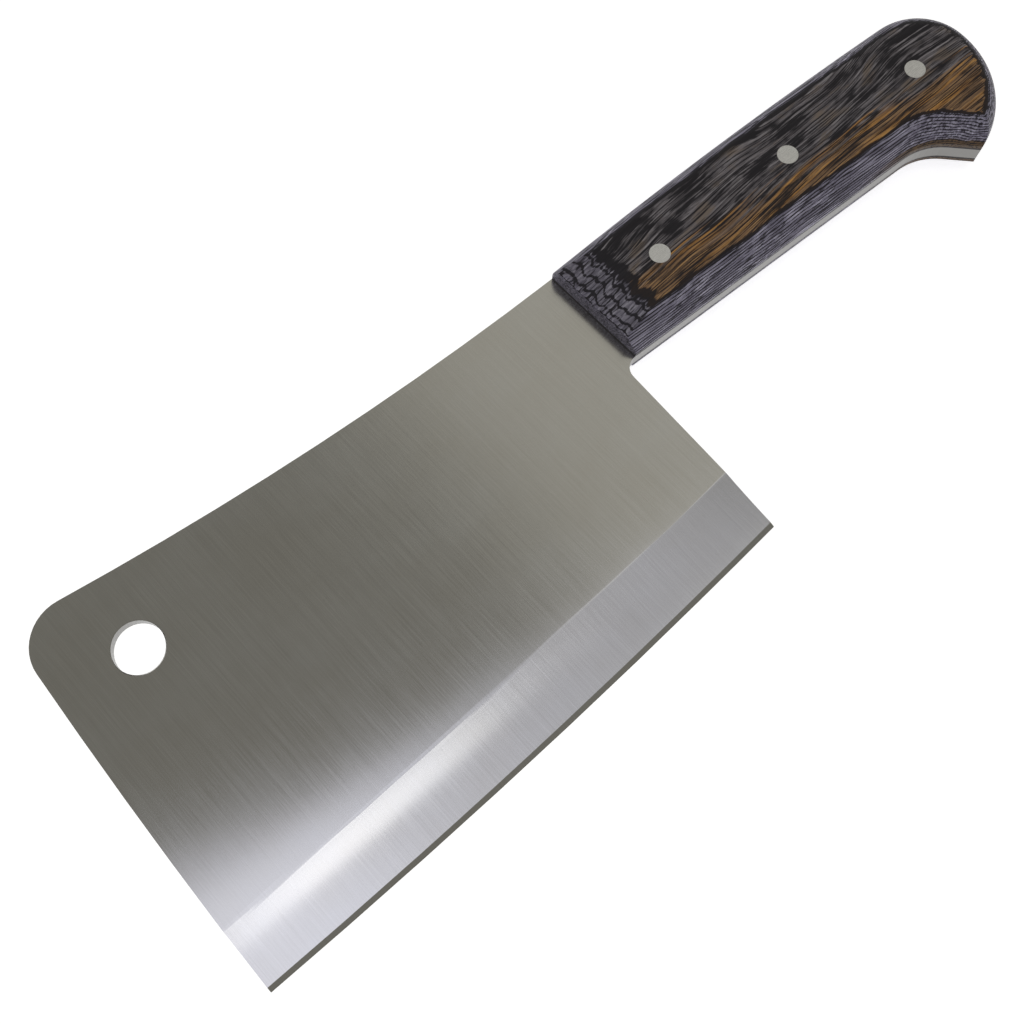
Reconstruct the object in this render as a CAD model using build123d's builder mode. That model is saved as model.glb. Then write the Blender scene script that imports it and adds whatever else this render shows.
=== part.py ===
"""Meat cleaver: a full-tang blade, two laminated wood scales and three two-piece rivets.

The cleaver lies on its side. +X runs from the front of the blade to the butt of the handle,
+Y from the cutting edge to the spine and +Z through the thickness. The origin is the centre of
the hanging hole, on the middle plane of the blade. Sizes are in millimetres. Side views are
drawn on a plane of their own, where X = 0, Y = 0 is the front end of the cutting edge.
"""

import os

from build123d import *

# Blade, seen from the side
edge_length = 170.5          # cutting edge, front corner to heel corner
edge_bow = 1.7               # how far the cutting edge bows below its ends
front_height = 113.6         # top front corner before it is rounded
front_lean = 6.0             # how far that corner stands behind the front end of the edge
front_bow = 0.9              # how far the front edge bows forward of its ends
nose_radius = 13.0
spine_end_height = 90.1      # where the spine meets the handle
spine_hollow = 3.85          # how far the spine dips below the line between its ends
heel_lean = 3.0              # how far the top of the heel stands behind the heel corner
choil_radius = 4.0           # inside corner between heel and tang

# Blade, in section
blade_thickness = 4.0
grind_height = 18.3          # height of the main grind above the cutting edge
ground_thickness = 0.8       # thickness that the main grind leaves at the cutting edge
bevel_height = 1.4           # height of the sharpening bevel
bevel_land = 0.14            # thickness that the sharpening bevel leaves
hang_hole_diameter = 14.3
hang_hole_setback = 28.4     # from the front end of the edge to the hole's centre
hang_hole_height = 86.5      # from the cutting edge to the hole's centre
hole_chamfer = 0.3

# Handle, seen from the side: the tang and both scales share this outline
neck_length = 7.2            # from the heel corner back to the scales' front end
handle_length = 136.3
handle_height = 32.2         # at the front end
top_fall = 7.6               # how far the top line falls from the front end to the butt curve
top_bow = 1.2                # how far the top line bows up
butt_curve_reach = 15.4      # how far back the butt's upper curve reaches from the top line's end
butt_curve_drop = 17.1       # how far down it reaches
hook_setback = 22.1          # from the rearmost point forward to the tip of the hook
belly_fall = 8.7             # how far the belly line falls from the front end to the hook
hook_depth = 12.0            # from the end of the belly line down to the tip of the hook
hook_lean = 10.3             # from the tip of the hook forward to the end of the belly line
hook_radius = 17.0           # hollow curve between belly and hook

# Scales
scale_thickness = 8.0
shoulder_radius = 6.3        # rounding between the outer face and the side wall
front_chamfer = 0.8          # round the scales' front end, except along the tang

# Rivets
rivet_head_diameter = 5.8
rivet_head_thickness = 2.2
rivet_barrel_diameter = 4.0
rivet_stud_diameter = 2.6
rivet_first_setback = 22.9   # from the scales' front end to the first rivet
rivet_last_inset = 21.3      # from the butt's rearmost point to the last rivet
rivet_places = ("front", "middle", "butt")
rivet_shares = (0.0, 0.508, 1.0)  # how far along each one is from the first to the last
rivet_drops = (15.7, 15.2, 17.7)  # from the line of the handle's top down to each rivet
rivet_hole_clearance = 0.05  # between rivet and hole, on the radius
stud_clearance = 0.01        # between stud and barrel, on the radius
barrel_end_gap = 0.8         # between the barrel's end and the stud's head

# Worked out from the sizes above
handle_start = edge_length + neck_length
half_thickness = blade_thickness / 2
handle_half_thickness = half_thickness + scale_thickness
butt_x = handle_start + handle_length
belly_start_height = spine_end_height - handle_height
belly_end = (butt_x - hook_setback - hook_lean, belly_start_height - belly_fall)
belly_slope = belly_fall / (belly_end[0] - handle_start)
hook_tip = (belly_end[0] + hook_lean, belly_end[1] - hook_depth)
top_start = (handle_start, spine_end_height)
top_end = (butt_x - butt_curve_reach, spine_end_height - top_fall)
butt_point = (butt_x, top_end[1] - butt_curve_drop)
heel_top_x = edge_length + heel_lean
heel_top = (heel_top_x, belly_start_height + belly_slope * (handle_start - heel_top_x))
front_corner = (front_lean, front_height)
side_view = Plane((-hang_hole_setback, -hang_hole_height, 0))


def bowed_middle(start, end, bow):
    """The middle of the line from start to end, moved by bow in +Y or, on an upright line, in -X."""
    middle_x = (start[0] + end[0]) / 2
    middle_y = (start[1] + end[1]) / 2
    if abs(end[0] - start[0]) > abs(end[1] - start[1]):
        return (middle_x, middle_y + bow)
    return (middle_x - bow, middle_y)


def nearest_vertex(sketch, point):
    """The corner of a sketch that is nearest to a point."""
    return sketch.vertices().sort_by_distance(point)[0]


def handle_outline():
    """The side view that the tang and both scales share."""
    with BuildSketch() as outline:
        with BuildLine():
            top = ThreePointArc(top_start, bowed_middle(top_start, top_end, top_bow), top_end)
            upper_butt = TangentArc(top @ 1, butt_point, tangent=top % 1)
            TangentArc(upper_butt @ 1, hook_tip, tangent=upper_butt % 1)
            Polyline(hook_tip, belly_end, (handle_start, belly_start_height), top_start)
        make_face()
        fillet(nearest_vertex(outline, belly_end), hook_radius)
    return outline.sketch


def rivet_centres():
    """Where the rivets go: in a row along the handle, each at its drop below the top line."""
    first_x = handle_start + rivet_first_setback
    last_x = butt_x - rivet_last_inset
    top_slope = top_fall / (top_end[0] - top_start[0])
    centres = []
    for share, drop in zip(rivet_shares, rivet_drops):
        x = first_x + (last_x - first_x) * share
        centres.append((x, spine_end_height - drop - top_slope * (x - handle_start)))
    return centres


# Blade with its full tang
with BuildPart() as blade:
    with BuildSketch(side_view.offset(-half_thickness)) as blade_outline:
        with BuildLine():
            ThreePointArc((0, 0), (edge_length / 2, -edge_bow), (edge_length, 0))
            Polyline((edge_length, 0), heel_top, (handle_start, belly_start_height), top_start)
            ThreePointArc(top_start, bowed_middle(top_start, front_corner, -spine_hollow), front_corner)
            ThreePointArc(front_corner, bowed_middle(front_corner, (0, 0), front_bow), (0, 0))
        make_face()
        add(handle_outline())
        fillet(nearest_vertex(blade_outline, heel_top), choil_radius)
        fillet(nearest_vertex(blade_outline, front_corner), nose_radius)
    extrude(amount=blade_thickness)

    # The main grind leans each face towards the cutting edge, and the sharpening bevel ends it
    edge_face = blade.faces().sort_by(Axis.Y)[0]
    grind_lines = edge_face.edges().filter_by(GeomType.CIRCLE)
    grind_depth = (blade_thickness - ground_thickness) / 2
    chamfer(grind_lines, length=grind_depth, length2=grind_height, reference=edge_face)
    edge_face = blade.faces().sort_by(Axis.Y)[0]
    bevel_lines = edge_face.edges().filter_by(GeomType.CIRCLE)
    bevel_depth = (ground_thickness - bevel_land) / 2
    chamfer(bevel_lines, length=bevel_depth, length2=bevel_height, reference=edge_face)

    Hole(hang_hole_diameter / 2)
    chamfer(blade.edges(Select.LAST).filter_by(GeomType.CIRCLE), length=hole_chamfer)
    with Locations(side_view):
        with Locations(*rivet_centres()):
            Hole(rivet_barrel_diameter / 2 + rivet_hole_clearance)
blade.part.label = "blade"

# Left scale: flat inner face on the tang, rounded shoulder all round except at the front end
with BuildPart() as left_scale:
    with BuildSketch(side_view.offset(half_thickness)):
        add(handle_outline())
    extrude(amount=scale_thickness)
    outer_face = left_scale.faces().sort_by(Axis.Z)[-1]
    front_rim = outer_face.edges().sort_by(Axis.X)[0]
    fillet(outer_face.edges() - ShapeList([front_rim]), shoulder_radius)
    front_face = left_scale.faces().sort_by(Axis.X)[0]
    chamfer(front_face.edges().sort_by(Axis.Z)[-1], length=front_chamfer)

    with Locations(side_view.offset(handle_half_thickness)):
        with Locations(*rivet_centres()):
            CounterBoreHole(
                radius=rivet_barrel_diameter / 2 + rivet_hole_clearance,
                counter_bore_radius=rivet_head_diameter / 2 + rivet_hole_clearance,
                counter_bore_depth=rivet_head_thickness,
            )
left_scale.part.label = "left_scale"

# Right scale: the same piece, mirrored in the blade's middle plane
with BuildPart() as right_scale:
    mirror(left_scale.part, about=Plane.XY)
right_scale.part.label = "right_scale"

os.makedirs("parts", exist_ok=True)
export_step(blade.part, "parts/blade.step")
export_step(left_scale.part, "parts/left_scale.step")
export_step(right_scale.part, "parts/right_scale.step")

# Rivets: the socket has its head in the left scale and a hollow barrel that reaches down almost
# to the other head. The stud has its head in the right scale and a pin that fills the barrel.
head_underside = handle_half_thickness - rivet_head_thickness
barrel_length = 2 * head_underside - barrel_end_gap
stud_length = 2 * head_underside
for place, centre in zip(rivet_places, rivet_centres()):
    with BuildPart() as rivet_socket:
        with BuildSketch(side_view.offset(head_underside)):
            with Locations(centre):
                Circle(rivet_head_diameter / 2)
        extrude(amount=rivet_head_thickness)
        with BuildSketch(side_view.offset(head_underside)):
            with Locations(centre):
                Circle(rivet_barrel_diameter / 2)
        extrude(amount=-barrel_length)
        with BuildSketch(side_view.offset(head_underside)):
            with Locations(centre):
                Circle(rivet_stud_diameter / 2 + stud_clearance)
        extrude(amount=-barrel_length, mode=Mode.SUBTRACT)
    rivet_socket.part.label = place + "_rivet_socket"
    export_step(rivet_socket.part, "parts/" + place + "_rivet_socket.step")

    with BuildPart() as rivet_stud:
        with BuildSketch(side_view.offset(-head_underside)):
            with Locations(centre):
                Circle(rivet_head_diameter / 2)
        extrude(amount=-rivet_head_thickness)
        with BuildSketch(side_view.offset(-head_underside)):
            with Locations(centre):
                Circle(rivet_stud_diameter / 2)
        extrude(amount=stud_length)
    rivet_stud.part.label = place + "_rivet_stud"
    export_step(rivet_stud.part, "parts/" + place + "_rivet_stud.step")
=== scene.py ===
"""Looks of the meat cleaver: a brushed steel blade, laminated wood scales and flush steel rivets.

Everything is in metres in the part's own frame: the cleaver lies on its right scale, +X runs from
the front of the blade to the butt, +Y from the cutting edge to the spine and +Z up. Names that end
in _MM are in millimetres.
"""

import math

import bmesh
import bpy
from mathutils import Matrix, Vector
from mathutils.geometry import intersect_line_line_2d


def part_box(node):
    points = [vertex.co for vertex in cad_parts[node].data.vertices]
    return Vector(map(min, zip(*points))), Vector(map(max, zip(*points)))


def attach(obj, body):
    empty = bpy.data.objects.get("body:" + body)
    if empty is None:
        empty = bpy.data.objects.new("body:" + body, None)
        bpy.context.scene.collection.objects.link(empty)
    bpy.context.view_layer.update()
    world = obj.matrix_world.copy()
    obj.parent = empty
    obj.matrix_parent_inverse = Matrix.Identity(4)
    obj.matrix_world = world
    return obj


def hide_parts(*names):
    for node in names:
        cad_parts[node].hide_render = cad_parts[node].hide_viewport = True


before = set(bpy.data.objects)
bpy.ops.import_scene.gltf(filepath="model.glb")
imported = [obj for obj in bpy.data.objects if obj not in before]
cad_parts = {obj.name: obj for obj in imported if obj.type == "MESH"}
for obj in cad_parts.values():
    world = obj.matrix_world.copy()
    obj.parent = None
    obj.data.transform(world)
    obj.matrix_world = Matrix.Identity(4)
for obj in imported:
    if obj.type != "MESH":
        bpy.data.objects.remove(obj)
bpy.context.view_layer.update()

MM = 0.001
SAME_PLACE = 0.001 * MM

# Camera: where it stands, what its axis meets and which way is up in its picture
CAMERA_PLACE = Vector((0.01414, -0.11084, 0.32494))
CAMERA_AIM = Vector((0.06972, -0.02459, 0.002))
CAMERA_UP = Vector((0.64779, 0.70083, 0.29867))
CAMERA_LENS = 45.91
CAMERA_SHIFT = (0.1045, 0.0254)
CAMERA_NEAR = 0.01

# Lights: a name, a centre, a length and a width, a brightness, a colour and a turn in degrees.
# Softboxes at one height would hide each other, so each hangs at a height of its own.
COOL = (0.93, 0.95, 1.12)
WHITE = (1.0, 1.0, 1.0)
WARM = (1.0, 0.975, 0.87)
SOFTBOXES = (
    ("wide_softbox", (0.05, -0.18, 1.20), (1.22, 0.58), 0.42, COOL, -6.0),
    ("middle_softbox", (-0.20, -0.10, 1.21), (0.80, 0.52), 0.20, COOL, -20.0),
    ("left_softbox", (-0.34, -0.035, 1.22), (0.72, 0.54), 0.52, COOL, -20.0),
    ("bright_core", (0.01, -0.235, 1.19), (0.34, 0.09), 1.1, WHITE, 0.0),
    ("handle_fill", (0.95, 0.46, 1.23), (1.10, 1.00), 0.31, WARM, 0.0),
)
ROOM_BRIGHTNESS = 0.26

# Floor
FLOOR_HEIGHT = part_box("right_scale")[0].z
FLOOR_RADIUS = 4.0
FLOOR_CORNERS = 128
FLOOR_COLOUR = (0.86, 0.86, 0.86)
FLOOR_ROUGHNESS = 0.9
FLOOR_GLOW = 0.76

# Blade. Level cuts split its faces up the grind, with a few more for the bowed grind's higher ends.
BLADE_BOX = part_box("blade")
HALF_BLADE = BLADE_BOX[1].z
EDGE_LENGTH = 170.5 * MM
EDGE_BOW = 1.7 * MM
EDGE_ENDS_HEIGHT = BLADE_BOX[0].y + EDGE_BOW
GRIND_HEIGHT = 18.3 * MM
BEVEL_HEIGHT = 1.4 * MM
BEVEL_TOP_HALF = 0.4 * MM
HOLLOW_DEPTH = 0.26 * MM
HOLLOW_CUTS = 16
CUTS_ABOVE = 3
FACE_MARGIN = 0.02 * MM
HEEL_MARGIN = 1 * MM
BLADE_CREASE_DEGREES = 6.0

# Scales. Their side view is worked out in millimetres. A shoulder is given by how far it reaches
# in from the outline, how far down it goes, and the powers that round its upper and lower ends.
SCALE_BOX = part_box("left_scale")
SCALE_FACE = SCALE_BOX[1].z
SCALE_THICKNESS_MM = (SCALE_BOX[1].z - SCALE_BOX[0].z) / MM
BACK_RADIUS_MM = 6.3
BELLY_SHOULDER_MM = (7.2, 6.4, 0.80, 1.10)
NOSE_RAMP_MM = (15.0, 2.1, 0.85, 1.0)
RING_DEPTHS_MM = (0, 0.03, 0.1, 0.2, 0.35, 0.55, 0.8, 1.1, 1.5, 1.9, 2.3, 2.6, 2.8, 3.1,
                  3.6, 4.2, 4.8, 5.3, 5.7, 6.0, 6.2, 6.3, 6.4)
OUTLINE_STEP_MM = 0.9
WALL_INSET_MM = 0.003
CORNER_REACH_MM = 1.0
SAME_POINT_MM = 0.001
SCALE_CREASE_DEGREES = 24.0

# Rivets and the pins that cut their holes
RIVET_PLACES = ("front", "middle", "butt")
HEAD_HOLE_RADIUS = 2.95 * MM
HEAD_DEPTH = 2.2 * MM
BARREL_HOLE_RADIUS = 2.05 * MM
CUTTER_REACH = 1 * MM
CUTTER_CORNERS = 64
RIM_BEVEL = 0.12 * MM
RIM_SEGMENTS = 2
RIM_ANGLE_DEGREES = 50

# Noise fields: frequency per millimetre along X, Y and Z, detail, roughness, offset along X
FINE_LINES = ((6.5, 0.06, 0.5), 3.0, 0.65, 0.0)
BROAD_LINES = ((1.6, 0.022, 0.2), 2.0, 0.6, 40.0)
CLOUDS = ((0.035, 0.05, 0.1), 3.0, 0.6, 90.0)
SANDING_LINES = ((0.35, 7.0, 0.5), 3.0, 0.6, 0.0)
SANDING_GRAIN = ((3.0, 3.0, 3.0), 3.0, 0.6, 0.0)
PLY_WAVES = ((0.05, 0.16, 0.1), 1.0, 0.5, 7.0)
PLY_SCALLOPS = ((0.055, 0.34, 0.3), 0.0, 0.5, 21.0)
SWAY = ((0.022, 0.05, 0.1), 1.0, 0.5, 3.0)
FIBRES = ((0.06, 1.2, 1.2), 5.0, 0.72, 0.0)
PORES = ((0.05, 2.1, 1.6), 4.0, 0.60, 13.0)
STAINS = ((0.07, 0.19, 0.2), 3.0, 0.62, 29.0)
STREAKS = ((0.018, 0.55, 0.5), 3.0, 0.6, 55.0)

# Steel: colours by the strength of the grind lines, and what each pattern adds to the roughness
STEEL_STOPS = ((0.30, (0.480, 0.476, 0.464)), (0.70, (0.570, 0.567, 0.558)))
TARNISH_STOPS = ((0.30, (0.95, 0.94, 0.92)), (0.70, WHITE))
# Upright walls get a darker steel colour: painted shade
WALL_SHADE_STEEL = (0.24, 0.236, 0.228)
WALL_FACING = (0.75, 0.35)
BROAD_SHARE = 0.3
STEEL_ROUGHNESS = 0.085
LINES_ROUGHNESS = 0.12
CLOUDS_ROUGHNESS = 0.03
WALL_ROUGHNESS = 0.18
STEEL_ANISOTROPY = 0.82
STEEL_RELIEF = (0.010 * MM, 0.4)
RIVET_STOPS = ((0.40, (0.68, 0.675, 0.66)), (0.60, (0.92, 0.915, 0.895)))
GRAIN_SHARE = 0.4
RIVET_METALLIC = 0.75
RIVET_ROUGHNESS = 0.40
WORN_ROUGHNESS = 0.25
RIVET_RELIEF = (0.02 * MM, 0.5)

# Veneers: their thickness, how wavy they are, and their colours by the strength of the fibres
OUTER_PLY_MM = 0.45
PLY_MM = 0.50
WAVE_MM = 0.7
SCALLOP_MM = 0.8
SWAY_MM = 10.0
GREY_STOPS = ((0.34, (0.055, 0.048, 0.056)), (0.50, (0.185, 0.168, 0.184)), (0.66, (0.46, 0.43, 0.455)))
TAN_STOPS = ((0.34, (0.13, 0.082, 0.055)), (0.50, (0.37, 0.215, 0.110)), (0.66, (0.66, 0.39, 0.17)))
ORANGE_STOPS = ((0.34, (0.32, 0.14, 0.04)), (0.50, (0.60, 0.285, 0.070)), (0.66, (0.88, 0.46, 0.12)))
VIOLET_STOPS = ((0.34, (0.085, 0.076, 0.105)), (0.50, (0.205, 0.192, 0.245)), (0.66, (0.45, 0.43, 0.51)))
FADED_GREY = (0.25, 0.20, 0.17)
BROWN_PLY = (0.15, 0.095, 0.055)
BLACK_PLY = (0.030, 0.025, 0.028)
WOOD_BLACK = (0.012, 0.010, 0.015)
# Painted sheen: inner veneers turn paler and bluer where the shoulders slope
SLANT_SHEEN_GAIN = (1.38, 1.38, 1.46)

# Outer veneer: below a sloping line it is brown, and orange in the streaks there
BROWN_SLOPE = 0.125
BROWN_EDGE_MM = (7.8, 3.8)
BROWN_STREAKS_MM = 22.0
FADED_STAINS = (0.48, 0.34)
ORANGE_STREAKS = (0.50, 0.36)
ORANGE_SHARE = 0.85

# Inner veneers: depths and places where one gives way to the next
INSIDE_MM = (-0.06, 0.06)
SLANTED_FACING = (0.985, 0.90)
BROWN_PLY_MM = (4.4, 4.9)
BLACK_PLY_MM = (6.8, 7.1)
HOOK_PLACE_MM = (228.0, 250.0)

# Dark lines: how near each one starts and is full, and how much ink each one adds
RIM_DEPTH_MM = 0.10
RIM_REACH_MM = (0.30, 0.08)
GLUE_PLACE = 0.5
GLUE_REACH = (0.30, 0.08)
GLUE_WIDTH = 0.70
SLANTED_GLUE_WIDTH = 0.30
SEAM_REACH = (0.050, 0.008)
STAIN_REACH = (0.46, 0.68)
BROWN_STAIN_LOSS = 0.6
STAIN_INK = 0.18
RIM_INK = 0.24
GLUE_INK = 0.22
SEAM_INK = 0.18
INSIDE_INK = -0.07
INK_REACH = (0.450, 0.600)
INK_SHARE = 0.96
WOOD_ROUGHNESS = 0.32
FIBRES_ROUGHNESS = 0.20
INK_ROUGHNESS = 0.15
WOOD_SPECULAR = 0.32
FIBRES_HEIGHT = 0.5
INK_HEIGHT = 0.6
WOOD_RELIEF = (0.07 * MM, 0.8)


# ---------------------------------------------------------------- node helpers

def new_material(name):
    """An empty material and the Principled shader that it ends in."""
    material = bpy.data.materials.new(name)
    material.use_nodes = True
    return material, material.node_tree.nodes["Principled BSDF"]


def feed(tree, socket, value):
    """Link a socket to another node's output, or set it to a plain value."""
    if isinstance(value, bpy.types.NodeSocket):
        tree.links.new(value, socket)
    else:
        socket.default_value = value


def maths(tree, operation, first, second=0.0):
    node = tree.nodes.new("ShaderNodeMath")
    node.operation = operation
    feed(tree, node.inputs[0], first)
    feed(tree, node.inputs[1], second)
    return node.outputs[0]


def plus(tree, first, second):
    return maths(tree, "ADD", first, second)


def minus(tree, first, second):
    return maths(tree, "SUBTRACT", first, second)


def times(tree, first, second):
    return maths(tree, "MULTIPLY", first, second)


def magnitude(tree, value):
    return maths(tree, "ABSOLUTE", value)


def total(tree, base, *parts):
    """A base value plus each part, which is a value and its weight."""
    result = base
    for value, weight in parts:
        result = plus(tree, result, times(tree, value, weight))
    return result


def blend(tree, first, second, second_share):
    """Two noise values in one."""
    return plus(tree, times(tree, first, 1 - second_share), times(tree, second, second_share))


def place_mm(tree):
    """X, Y and Z of the shaded point in the part's frame, in millimetres."""
    place = tree.nodes.new("ShaderNodeTexCoord")
    scale = tree.nodes.new("ShaderNodeVectorMath")
    scale.operation = "SCALE"
    scale.inputs["Scale"].default_value = 1 / MM
    tree.links.new(place.outputs["Object"], scale.inputs[0])
    split = tree.nodes.new("ShaderNodeSeparateXYZ")
    tree.links.new(scale.outputs[0], split.inputs[0])
    return tuple(split.outputs)


def upward(tree):
    """How squarely the surface faces up or down: 1 on flat faces, 0 on upright walls."""
    geometry = tree.nodes.new("ShaderNodeNewGeometry")
    split = tree.nodes.new("ShaderNodeSeparateXYZ")
    tree.links.new(geometry.outputs["Normal"], split.inputs[0])
    return magnitude(tree, split.outputs["Z"])


def part_x_direction(tree):
    """The direction of the part's X axis, wherever the part is turned."""
    node = tree.nodes.new("ShaderNodeVectorTransform")
    node.vector_type = "VECTOR"
    node.convert_from = "OBJECT"
    node.convert_to = "WORLD"
    node.inputs[0].default_value = (1.0, 0.0, 0.0)
    return node.outputs[0]


def vector(tree, x, y, z):
    node = tree.nodes.new("ShaderNodeCombineXYZ")
    for socket, value in zip(node.inputs, (x, y, z)):
        feed(tree, socket, value)
    return node.outputs[0]


def noise(tree, place, field):
    """Noise from 0 to 1, as the field says."""
    frequencies, detail, roughness, offset = field
    x, y, z = (times(tree, axis, frequency) for axis, frequency in zip(place, frequencies))
    node = tree.nodes.new("ShaderNodeTexNoise")
    node.noise_dimensions = "3D"
    node.inputs["Scale"].default_value = 1.0
    node.inputs["Detail"].default_value = detail
    node.inputs["Roughness"].default_value = roughness
    tree.links.new(vector(tree, plus(tree, x, offset), y, z), node.inputs["Vector"])
    return node.outputs["Fac"]


def spread(tree, value, width):
    """A noise value centred on zero and as wide as given."""
    return times(tree, minus(tree, value, 0.5), width)


def ramp(tree, value, stops):
    """A colour ramp through (position, (r, g, b)) stops."""
    node = tree.nodes.new("ShaderNodeValToRGB")
    elements = node.color_ramp.elements
    while len(elements) < len(stops):
        elements.new(1.0)
    for element, (position, colour) in zip(elements, stops):
        element.position = position
        element.color = (*colour, 1.0)
    feed(tree, node.inputs["Fac"], value)
    return node.outputs["Color"]


def step(tree, value, reach):
    """0 at the reach's first number, 1 at its second and smooth between."""
    node = tree.nodes.new("ShaderNodeMapRange")
    node.interpolation_type = "SMOOTHSTEP"
    feed(tree, node.inputs["Value"], value)
    node.inputs["From Min"].default_value, node.inputs["From Max"].default_value = reach
    return node.outputs["Result"]


def mix(tree, factor, first, second, blend_type="MIX"):
    """Mix two colours."""
    node = tree.nodes.new("ShaderNodeMix")
    node.data_type = "RGBA"
    node.blend_type = blend_type
    feed(tree, node.inputs["Factor"], factor)
    colour_sockets = [socket for socket in node.inputs if socket.type == "RGBA"]
    for socket, value in zip(colour_sockets, (first, second)):
        feed(tree, socket, (*value, 1.0) if isinstance(value, tuple) else value)
    return next(socket for socket in node.outputs if socket.type == "RGBA")


def bump(tree, height, relief):
    """A normal for a height, where the relief is a distance and a strength."""
    node = tree.nodes.new("ShaderNodeBump")
    node.inputs["Distance"].default_value, node.inputs["Strength"].default_value = relief
    tree.links.new(height, node.inputs["Height"])
    return node.outputs["Normal"]


# ---------------------------------------------------------------- materials

def brushed_steel():
    """Satin stainless steel with fine grind lines that run from the spine to the cutting edge."""
    material, shader = new_material("brushed_blade_steel")
    tree = material.node_tree
    place = place_mm(tree)
    lines = blend(tree, noise(tree, place, FINE_LINES), noise(tree, place, BROAD_LINES), BROAD_SHARE)
    clouds = noise(tree, place, CLOUDS)
    wall = step(tree, upward(tree), WALL_FACING)
    steel = ramp(tree, lines, STEEL_STOPS)
    steel = mix(tree, 1.0, steel, ramp(tree, clouds, TARNISH_STOPS), "MULTIPLY")
    # Painted shade: the upright walls take the darker steel colour
    feed(tree, shader.inputs["Base Color"], mix(tree, wall, steel, WALL_SHADE_STEEL))
    shader.inputs["Metallic"].default_value = 1.0
    roughness = total(tree, STEEL_ROUGHNESS, (lines, LINES_ROUGHNESS), (clouds, CLOUDS_ROUGHNESS),
                      (wall, WALL_ROUGHNESS))
    feed(tree, shader.inputs["Roughness"], roughness)
    shader.inputs["Anisotropic"].default_value = STEEL_ANISOTROPY
    feed(tree, shader.inputs["Tangent"], part_x_direction(tree))
    feed(tree, shader.inputs["Normal"], bump(tree, lines, STEEL_RELIEF))
    return material


def rivet_steel():
    """Rivet heads sanded flush with the wood: pale, rather rough, with faint sanding lines."""
    material, shader = new_material("sanded_rivet_steel")
    tree = material.node_tree
    place = place_mm(tree)
    worn = blend(tree, noise(tree, place, SANDING_LINES), noise(tree, place, SANDING_GRAIN), GRAIN_SHARE)
    feed(tree, shader.inputs["Base Color"], ramp(tree, worn, RIVET_STOPS))
    shader.inputs["Metallic"].default_value = RIVET_METALLIC
    feed(tree, shader.inputs["Roughness"], total(tree, RIVET_ROUGHNESS, (worn, WORN_ROUGHNESS)))
    feed(tree, shader.inputs["Normal"], bump(tree, worn, RIVET_RELIEF))
    return material


def ply_depth(tree, place, scallops):
    """Depth below the outer veneer in millimetres, wavy and scalloped as veneers aren't flat."""
    waves = noise(tree, place, PLY_WAVES)
    depth = minus(tree, SCALE_FACE / MM - OUTER_PLY_MM, magnitude(tree, place[2]))
    depth = plus(tree, depth, spread(tree, waves, WAVE_MM))
    return minus(tree, depth, magnitude(tree, spread(tree, scallops, SCALLOP_MM)))


def wood_grain(tree, place):
    """Fibres, pores, stains and streaks, all drawn out along the handle and swaying together."""
    x, y, z = place
    bent = (x, plus(tree, y, spread(tree, noise(tree, place, SWAY), SWAY_MM)), z)
    return [noise(tree, bent, field) for field in (FIBRES, PORES, STAINS, STREAKS)]


def brown_part(tree, place, streaks):
    """1 in the brown part along the belly and the butt, 0 above it, and streaky between."""
    line = plus(tree, place[1], times(tree, place[0], BROWN_SLOPE))
    return step(tree, plus(tree, line, spread(tree, streaks, BROWN_STREAKS_MM)), BROWN_EDGE_MM)


def outer_veneer(tree, brown, fibres, stains, streaks):
    """Charcoal with grey-violet streaks, and tan with orange streaks in its brown part."""
    grey = ramp(tree, fibres, GREY_STOPS)
    grey = mix(tree, step(tree, stains, FADED_STAINS), grey, FADED_GREY)
    orange = times(tree, step(tree, streaks, ORANGE_STREAKS), ORANGE_SHARE)
    tan = mix(tree, orange, ramp(tree, fibres, TAN_STOPS), ramp(tree, fibres, ORANGE_STOPS))
    return mix(tree, brown, grey, tan)


def inner_veneers(tree, place, depth, fibres, slanted):
    """Grey-violet with a painted sheen that makes it paler on the sloping shoulders, brown low down near
    the hook, black on the tang.
    """
    violet = ramp(tree, fibres, VIOLET_STOPS)
    # Painted sheen: paler and bluer where the surface slopes
    violet = mix(tree, 1.0, violet, mix(tree, slanted, WHITE, SLANT_SHEEN_GAIN), "MULTIPLY")
    near_hook = step(tree, place[0], HOOK_PLACE_MM)
    brown_ply = times(tree, step(tree, depth, BROWN_PLY_MM), near_hook)
    colour = mix(tree, brown_ply, violet, BROWN_PLY)
    return mix(tree, step(tree, depth, BLACK_PLY_MM), colour, BLACK_PLY)


def rim_line(tree, depth):
    """The dark line where the outer veneer gives way to the first inner one."""
    return step(tree, magnitude(tree, plus(tree, depth, RIM_DEPTH_MM)), RIM_REACH_MM)


def glue_lines(tree, depth, slanted):
    """A dark line in each inner veneer, narrower on the nose, where a veneer shows as a wide band."""
    cycle = maths(tree, "FRACT", maths(tree, "DIVIDE", depth, PLY_MM))
    width = total(tree, GLUE_WIDTH, (slanted, SLANTED_GLUE_WIDTH))
    from_line = magnitude(tree, minus(tree, cycle, GLUE_PLACE))
    return step(tree, maths(tree, "DIVIDE", from_line, width), GLUE_REACH)


def seam_lines(tree, scallops, slanted):
    """Dark lines along the handle that split the nose's bands into cells."""
    seams = step(tree, magnitude(tree, minus(tree, scallops, 0.5)), SEAM_REACH)
    return times(tree, seams, minus(tree, 1.0, slanted))


def dark_lines(tree, pores, stained, rim, inner_lines, inside):
    """0 to 1: pores everywhere, thickest in the stains, at the rim and along the inner lines."""
    glue, seams = inner_lines
    ink = total(tree, pores, (stained, STAIN_INK), (rim, RIM_INK), (times(tree, glue, inside), GLUE_INK),
                (times(tree, seams, inside), SEAM_INK), (inside, INSIDE_INK))
    return step(tree, ink, INK_REACH)


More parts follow.
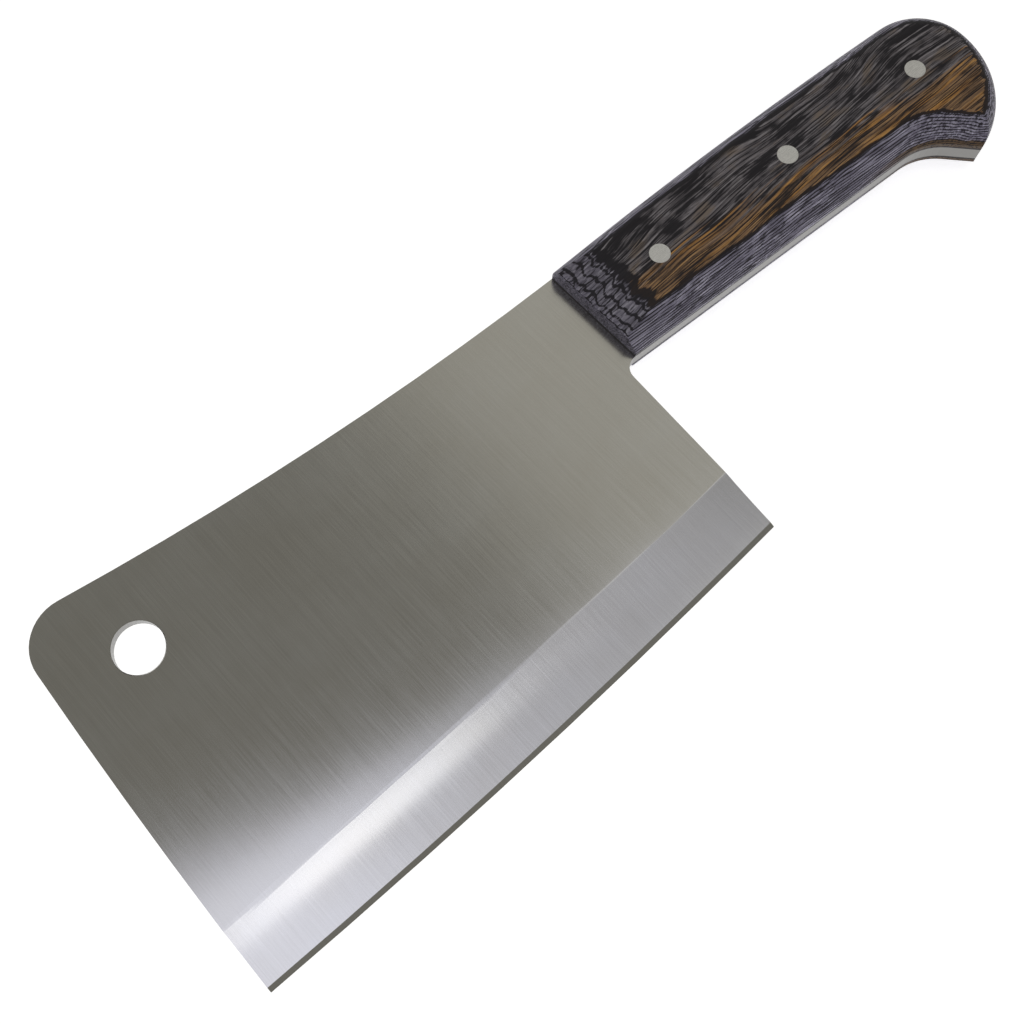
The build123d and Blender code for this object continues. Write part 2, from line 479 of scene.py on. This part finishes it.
def laminated_wood():
    """Dyed veneers glued in a stack: each one shows as a band wherever the scale is shaped away."""
    material, shader = new_material("dyed_laminated_wood")
    tree = material.node_tree
    place = place_mm(tree)
    fibres, pores, stains, streaks = wood_grain(tree, place)
    scallops = noise(tree, place, PLY_SCALLOPS)
    depth = ply_depth(tree, place, scallops)
    inside = step(tree, depth, INSIDE_MM)
    slanted = step(tree, upward(tree), SLANTED_FACING)
    brown = brown_part(tree, place, streaks)

    outer = outer_veneer(tree, brown, fibres, stains, streaks)
    inner = inner_veneers(tree, place, depth, fibres, slanted)
    wood = mix(tree, inside, outer, inner)

    stained = times(tree, step(tree, stains, STAIN_REACH), minus(tree, 1.0, inside))
    stained = times(tree, stained, minus(tree, 1.0, times(tree, brown, BROWN_STAIN_LOSS)))
    inner_lines = (glue_lines(tree, depth, slanted), seam_lines(tree, scallops, slanted))
    dark = dark_lines(tree, pores, stained, rim_line(tree, depth), inner_lines, inside)
    wood = mix(tree, times(tree, dark, INK_SHARE), wood, WOOD_BLACK)

    feed(tree, shader.inputs["Base Color"], wood)
    roughness = total(tree, WOOD_ROUGHNESS, (fibres, FIBRES_ROUGHNESS), (dark, INK_ROUGHNESS))
    feed(tree, shader.inputs["Roughness"], roughness)
    shader.inputs["Specular IOR Level"].default_value = WOOD_SPECULAR
    height = minus(tree, times(tree, fibres, FIBRES_HEIGHT), times(tree, dark, INK_HEIGHT))
    feed(tree, shader.inputs["Normal"], bump(tree, height, WOOD_RELIEF))
    return material


def pale_floor():
    """A plain white table that glows a little, as a light table does."""
    material, shader = new_material("pale_floor")
    shader.inputs["Base Color"].default_value = (*FLOOR_COLOUR, 1.0)
    shader.inputs["Roughness"].default_value = FLOOR_ROUGHNESS
    shader.inputs["Emission Color"].default_value = (*WHITE, 1.0)
    shader.inputs["Emission Strength"].default_value = FLOOR_GLOW
    return material


# ---------------------------------------------------------------- meshes

def copy_of(node):
    """A bmesh of a CAD node's mesh, welded, to cut and reshape."""
    shape = bmesh.new()
    shape.from_mesh(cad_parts[node].data)
    bmesh.ops.remove_doubles(shape, verts=shape.verts, dist=SAME_PLACE)
    shape.verts.index_update()
    return shape


def crease(shape, angle_degrees):
    """Smooth every face and keep the edges sharper than the angle crisp."""
    for face in shape.faces:
        face.smooth = True
    for edge in shape.edges:
        if len(edge.link_faces) == 2 and edge.calc_face_angle() > math.radians(angle_degrees):
            edge.smooth = False


def new_object(shape, name):
    """Turn a bmesh into an object of the scene."""
    mesh = bpy.data.meshes.new(name)
    shape.to_mesh(mesh)
    shape.free()
    piece = bpy.data.objects.new(name, mesh)
    bpy.context.scene.collection.objects.link(piece)
    return piece


def new_piece(shape, name, material):
    """Turn a bmesh into an object with one material and with normals that its faces give."""
    bmesh.ops.recalc_face_normals(shape, faces=shape.faces)
    piece = new_object(shape, name)
    if "custom_normal" in piece.data.attributes:
        piece.data.attributes.remove(piece.data.attributes["custom_normal"])
    piece.data.materials.append(material)
    return piece


def edge_height(x):
    """Height of the bowed cutting edge at x."""
    middle = BLADE_BOX[0].x + EDGE_LENGTH / 2
    along = (x - middle) / (EDGE_LENGTH / 2)
    return EDGE_ENDS_HEIGHT - EDGE_BOW * (1 - along * along)


def make_blade(steel):
    """The CAD blade with its main grind hollowed a little, as a wheel leaves it."""
    shape = copy_of("blade")
    hollow_span = GRIND_HEIGHT - BEVEL_HEIGHT
    for number in range(HOLLOW_CUTS + CUTS_ABOVE):
        height = BLADE_BOX[0].y + BEVEL_HEIGHT + hollow_span * number / HOLLOW_CUTS
        everything = shape.verts[:] + shape.edges[:] + shape.faces[:]
        bmesh.ops.bisect_plane(shape, geom=everything, plane_co=(0, height, 0), plane_no=(0, 1, 0))
    heel = BLADE_BOX[0].x + EDGE_LENGTH + HEEL_MARGIN
    for vertex in shape.verts:
        share = (vertex.co.y - edge_height(vertex.co.x) - BEVEL_HEIGHT) / hollow_span
        on_face = abs(vertex.co.z) > BEVEL_TOP_HALF - FACE_MARGIN
        if 0 < share < 1 and on_face and vertex.co.x < heel:
            hollow = HOLLOW_DEPTH * 4 * share * (1 - share)
            vertex.co.z -= math.copysign(hollow, vertex.co.z)
    crease(shape, BLADE_CREASE_DEGREES)
    piece = new_piece(shape, "ground_blade", steel)
    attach(piece, "root")
    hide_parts("blade")


def length_of(points):
    """Length of an open line of points."""
    return sum((b - a).length for a, b in zip(points, points[1:]))


def lies_on_tang(face):
    """Whether a face of the CAD's left scale is part of the flat that lies on the tang."""
    return all(abs(vertex.co.z - SCALE_BOX[0].z) < SAME_PLACE for vertex in face.verts)


def scale_outline():
    """The scales' side view, from the CAD scale's inner face: a loop of points in millimetres."""
    shape = copy_of("left_scale")
    after = {}
    for face in filter(lies_on_tang, shape.faces):
        for loop in face.loops:
            if not all(lies_on_tang(neighbour) for neighbour in loop.edge.link_faces):
                after[loop.vert.index] = (loop.link_loop_next.vert.index, loop.vert.co.xy / MM)
    shape.free()
    loops = []
    while after:
        index = next(iter(after))
        points = []
        while index in after:
            index, point = after.pop(index)
            points.append(point)
        loops.append(points)
    return max(loops, key=lambda points: length_of(points + points[:1]))


def turned_anticlockwise(points):
    """The same loop of points, reversed if it ran clockwise."""
    area = sum(a.x * b.y - b.x * a.y for a, b in zip(points, points[1:] + points[:1]))
    return points if area > 0 else points[::-1]


def resampled(points, count):
    """The same line with its points evenly spaced."""
    points = [points[0]] + [b for a, b in zip(points, points[1:]) if (b - a).length > SAME_POINT_MM]
    lengths = [0.0]
    for a, b in zip(points, points[1:]):
        lengths.append(lengths[-1] + (b - a).length)
    even = []
    piece = 0
    for number in range(count):
        target = lengths[-1] * number / (count - 1)
        while piece < len(points) - 2 and lengths[piece + 1] < target:
            piece += 1
        span = lengths[piece + 1] - lengths[piece]
        even.append(points[piece].lerp(points[piece + 1], (target - lengths[piece]) / span))
    return even


def moved_in(points, distance):
    """A line moved to its left by a distance, with both ends drawn out so that corners can meet."""
    moved = []
    for number, point in enumerate(points):
        before = points[max(number - 1, 0)]
        behind = points[min(number + 1, len(points) - 1)]
        along = (behind - before).normalized()
        moved.append(point + Vector((-along.y, along.x)) * distance)
    moved.insert(0, moved[0] + (moved[0] - moved[1]).normalized() * CORNER_REACH_MM)
    moved.append(moved[-1] + (moved[-1] - moved[-2]).normalized() * CORNER_REACH_MM)
    return moved


def crossing(first, second):
    """Where the end part of one line meets the start part of the next: (index, index, point)."""
    for i in range(len(first) - 2, -1, -1):
        for j in range(len(second) - 1):
            point = intersect_line_line_2d(first[i], first[i + 1], second[j], second[j + 1])
            if point:
                return i, j, point
    raise ValueError("two sides of a scale do not meet")


def facet_inset(shoulder, depth):
    """How far in from the outline the nose or the belly shoulder is, at a depth below the face."""
    width, fall, start_power, end_power = shoulder
    share = min(depth / fall, 1.0)
    return max(width * (1 - share ** start_power) ** end_power, WALL_INSET_MM)


def round_inset(radius, depth):
    """The same for a shoulder that is a quarter round."""
    rise = max(radius - depth, 0.0)
    return max(radius - math.sqrt(radius * radius - rise * rise), WALL_INSET_MM)


def scale_ring(sides, depth):
    """The scale's outline at a depth below its face: each side moved in, meeting in mitres."""
    nose = facet_inset(NOSE_RAMP_MM, depth)
    belly = facet_inset(BELLY_SHOULDER_MM, depth)
    back = round_inset(BACK_RADIUS_MM, depth)
    lines = [moved_in(side, inset) for side, inset in zip(sides, (nose, belly, back))]
    meets = [crossing(lines[i - 1], lines[i]) for i in range(len(lines))]
    ring = []
    for number, line in enumerate(lines):
        start = meets[number]
        end = meets[(number + 1) % len(lines)]
        trimmed = [start[2]] + line[start[1] + 1:end[0] + 1] + [end[2]]
        ring += resampled(trimmed, len(sides[number]))[:-1]
    return ring


def drawn_out(points, x):
    """A line with one more point, where its last stretch reaches x."""
    last, before = points[-1], points[-2]
    return points + [last + (last - before) * (x - last.x) / (last.x - before.x)]


def scale_sides():
    """The outline's nose, belly and back, each as evenly spaced points, with square front corners."""
    front = SCALE_BOX[0].x / MM
    loop = [p for p in turned_anticlockwise(scale_outline()) if p.x > front + CORNER_REACH_MM / 2]
    top_front = min(range(len(loop)), key=lambda i: loop[i].x - loop[i].y)
    loop = loop[top_front + 1:] + loop[:top_front + 1]
    hook_tip = min(range(len(loop)), key=lambda i: loop[i].y)
    belly = drawn_out(loop[hook_tip::-1], front)[::-1]
    back = drawn_out(loop[hook_tip:], front)
    nose = [back[-1], belly[0]]
    return [resampled(side, int(length_of(side) / OUTLINE_STEP_MM)) for side in (nose, belly, back)]


def rivet_hole_cutter(node):
    """A stepped pin as large as a rivet's hole in a scale, to cut the hole with."""
    low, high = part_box(node)
    centre = (low + high) / 2
    side = 1 if "socket" in node else -1
    face = side * (SCALE_FACE + CUTTER_REACH)
    shelf = side * (SCALE_FACE - HEAD_DEPTH)
    inner = side * (HALF_BLADE - CUTTER_REACH)
    profile = ((0, face), (HEAD_HOLE_RADIUS, face), (HEAD_HOLE_RADIUS, shelf),
               (BARREL_HOLE_RADIUS, shelf), (BARREL_HOLE_RADIUS, inner), (0, inner))
    shape = bmesh.new()
    corners = [shape.verts.new((centre.x + radius, centre.y, height)) for radius, height in profile]
    edges = [shape.edges.new(pair) for pair in zip(corners, corners[1:])]
    bmesh.ops.spin(shape, geom=corners + edges, cent=(centre.x, centre.y, 0), axis=(0, 0, 1),
                   angle=math.tau, steps=CUTTER_CORNERS, use_merge=True)
    bmesh.ops.remove_doubles(shape, verts=shape.verts, dist=SAME_PLACE)
    bmesh.ops.recalc_face_normals(shape, faces=shape.faces)
    return new_object(shape, "rivet_hole_cutter")


def cut_rivet_holes(piece, half):
    """Cut the three stepped rivet holes, apply the cuts and throw the cutters away."""
    cutters = [rivet_hole_cutter(place + "_rivet_" + half) for place in RIVET_PLACES]
    for cutter in cutters:
        cut = piece.modifiers.new("rivet_hole", "BOOLEAN")
        cut.operation = "DIFFERENCE"
        cut.solver = "EXACT"
        cut.object = cutter
    bpy.context.view_layer.update()
    graph = bpy.context.evaluated_depsgraph_get()
    mesh = bpy.data.meshes.new_from_object(piece.evaluated_get(graph))
    piece.modifiers.clear()
    piece.data = mesh
    for cutter in cutters:
        bpy.data.objects.remove(cutter)


def crease_piece(piece, angle_degrees):
    """Weld a piece's mesh and crease it."""
    shape = bmesh.new()
    shape.from_mesh(piece.data)
    bmesh.ops.remove_doubles(shape, verts=shape.verts, dist=SAME_PLACE)
    crease(shape, angle_degrees)
    shape.to_mesh(piece.data)
    shape.free()


def scale_shape(turn):
    """Rings of points from the outer face down to the tang: the left scale for 1, the right for -1."""
    sides = scale_sides()
    shape = bmesh.new()
    rings = []
    for depth in RING_DEPTHS_MM + (SCALE_THICKNESS_MM,):
        z = turn * (SCALE_FACE - depth * MM)
        rings.append([shape.verts.new((p.x * MM, p.y * MM, z)) for p in scale_ring(sides, depth)])
    for above, below in zip(rings, rings[1:]):
        for i in range(len(above)):
            j = (i + 1) % len(above)
            shape.faces.new((above[i], above[j], below[j], below[i]))
    shape.faces.new(rings[0])
    shape.faces.new(rings[-1])
    return shape


def make_scale(side_name, wood):
    """A scale with a rounded back and butt, a flatter belly facet and a nose that ramps down."""
    turn, half = (1, "socket") if side_name == "left" else (-1, "stud")
    piece = new_piece(scale_shape(turn), side_name + "_wood_scale", wood)
    cut_rivet_holes(piece, half)
    crease_piece(piece, SCALE_CREASE_DEGREES)
    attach(piece, "root")
    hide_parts(side_name + "_scale")


def dress_rivets(steel):
    """The CAD rivets keep their shape, with their rims softened and sanded steel on them."""
    for place in RIVET_PLACES:
        for half in ("socket", "stud"):
            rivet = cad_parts[place + "_rivet_" + half]
            rivet.data.materials.clear()
            rivet.data.materials.append(steel)
            rim = rivet.modifiers.new("softened_rim", "BEVEL")
            rim.width = RIM_BEVEL
            rim.segments = RIM_SEGMENTS
            rim.limit_method = "ANGLE"
            rim.angle_limit = math.radians(RIM_ANGLE_DEGREES)


# ---------------------------------------------------------------- scene

def make_floor():
    shape = bmesh.new()
    bmesh.ops.create_circle(shape, cap_ends=True, segments=FLOOR_CORNERS, radius=FLOOR_RADIUS)
    for vertex in shape.verts:
        vertex.co.z = FLOOR_HEIGHT
    floor = new_object(shape, "floor")
    floor.data.materials.append(pale_floor())


def soft_light(name, centre, size, brightness, colour, turn_degrees):
    """A rectangular softbox that hangs level and shines down, as bright all over as it's told."""
    light = bpy.data.lights.new(name, "AREA")
    light.shape = "RECTANGLE"
    light.size, light.size_y = size
    light.energy = brightness * math.pi * size[0] * size[1]
    light.color = colour
    lamp = bpy.data.objects.new(name, light)
    lamp.location = centre
    lamp.rotation_euler.z = math.radians(turn_degrees)
    bpy.context.scene.collection.objects.link(lamp)


def make_lights():
    """Softboxes over the front of the blade, brightest above its grind, in a warm grey room."""
    for softbox in SOFTBOXES:
        soft_light(*softbox)
    world = bpy.data.worlds.new("warm_room")
    world.use_nodes = True
    background = world.node_tree.nodes["Background"]
    background.inputs["Color"].default_value = (*WARM, 1.0)
    background.inputs["Strength"].default_value = ROOM_BRIGHTNESS
    bpy.context.scene.world = world


def make_camera():
    data = bpy.data.cameras.new("camera")
    data.lens = CAMERA_LENS
    data.shift_x, data.shift_y = CAMERA_SHIFT
    data.clip_start = CAMERA_NEAR
    camera = bpy.data.objects.new("camera", data)
    back = (CAMERA_PLACE - CAMERA_AIM).normalized()
    right = CAMERA_UP.cross(back).normalized()
    up = back.cross(right)
    turn = Matrix((right, up, back)).transposed().to_4x4()
    camera.matrix_world = Matrix.Translation(CAMERA_PLACE) @ turn
    bpy.context.scene.collection.objects.link(camera)
    bpy.context.scene.camera = camera


bpy.context.scene.view_settings.view_transform = "Standard"
make_camera()
make_lights()
make_floor()
make_blade(brushed_steel())
wood_material = laminated_wood()
make_scale("left", wood_material)
make_scale("right", wood_material)
dress_rivets(rivet_steel())
